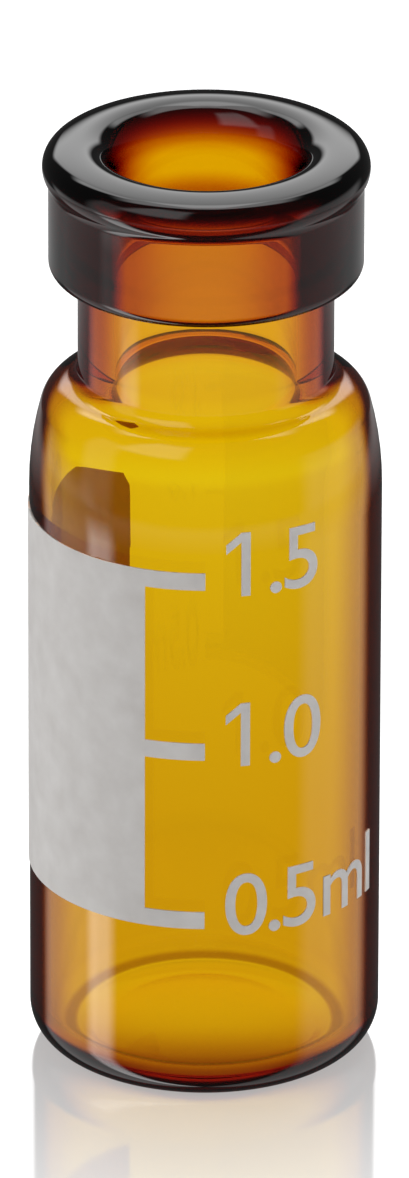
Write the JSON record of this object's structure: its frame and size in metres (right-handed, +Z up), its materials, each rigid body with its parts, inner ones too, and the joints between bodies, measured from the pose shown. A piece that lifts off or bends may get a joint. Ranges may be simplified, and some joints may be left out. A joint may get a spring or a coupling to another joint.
{
  "type": "amber glass crimp-neck sample vial",
  "caption": "Small amber glass vial for liquid samples, with a crimp neck, a white write-on patch and fill marks; open at the top, stands on its base.",
  "frame": {"origin": "on the vial's axis, at the height of the ring that it stands on", "axes": "+Z up the vial's axis to the mouth, -Y to the front, where the fill marks end, +X to the right as seen from the front"},
  "size_m": [0.0116, 0.0116, 0.032],
  "materials": {
    "amber_glass": "fire-polished amber borosilicate tubing glass",
    "white_ceramic_ink": "fired-on matt ceramic ink"
  },
  "bodies": {
    "root": {"amber_glass_body": "amber_glass", "white_ceramic_print": "white_ceramic_ink"}
  },
  "joints": []
}
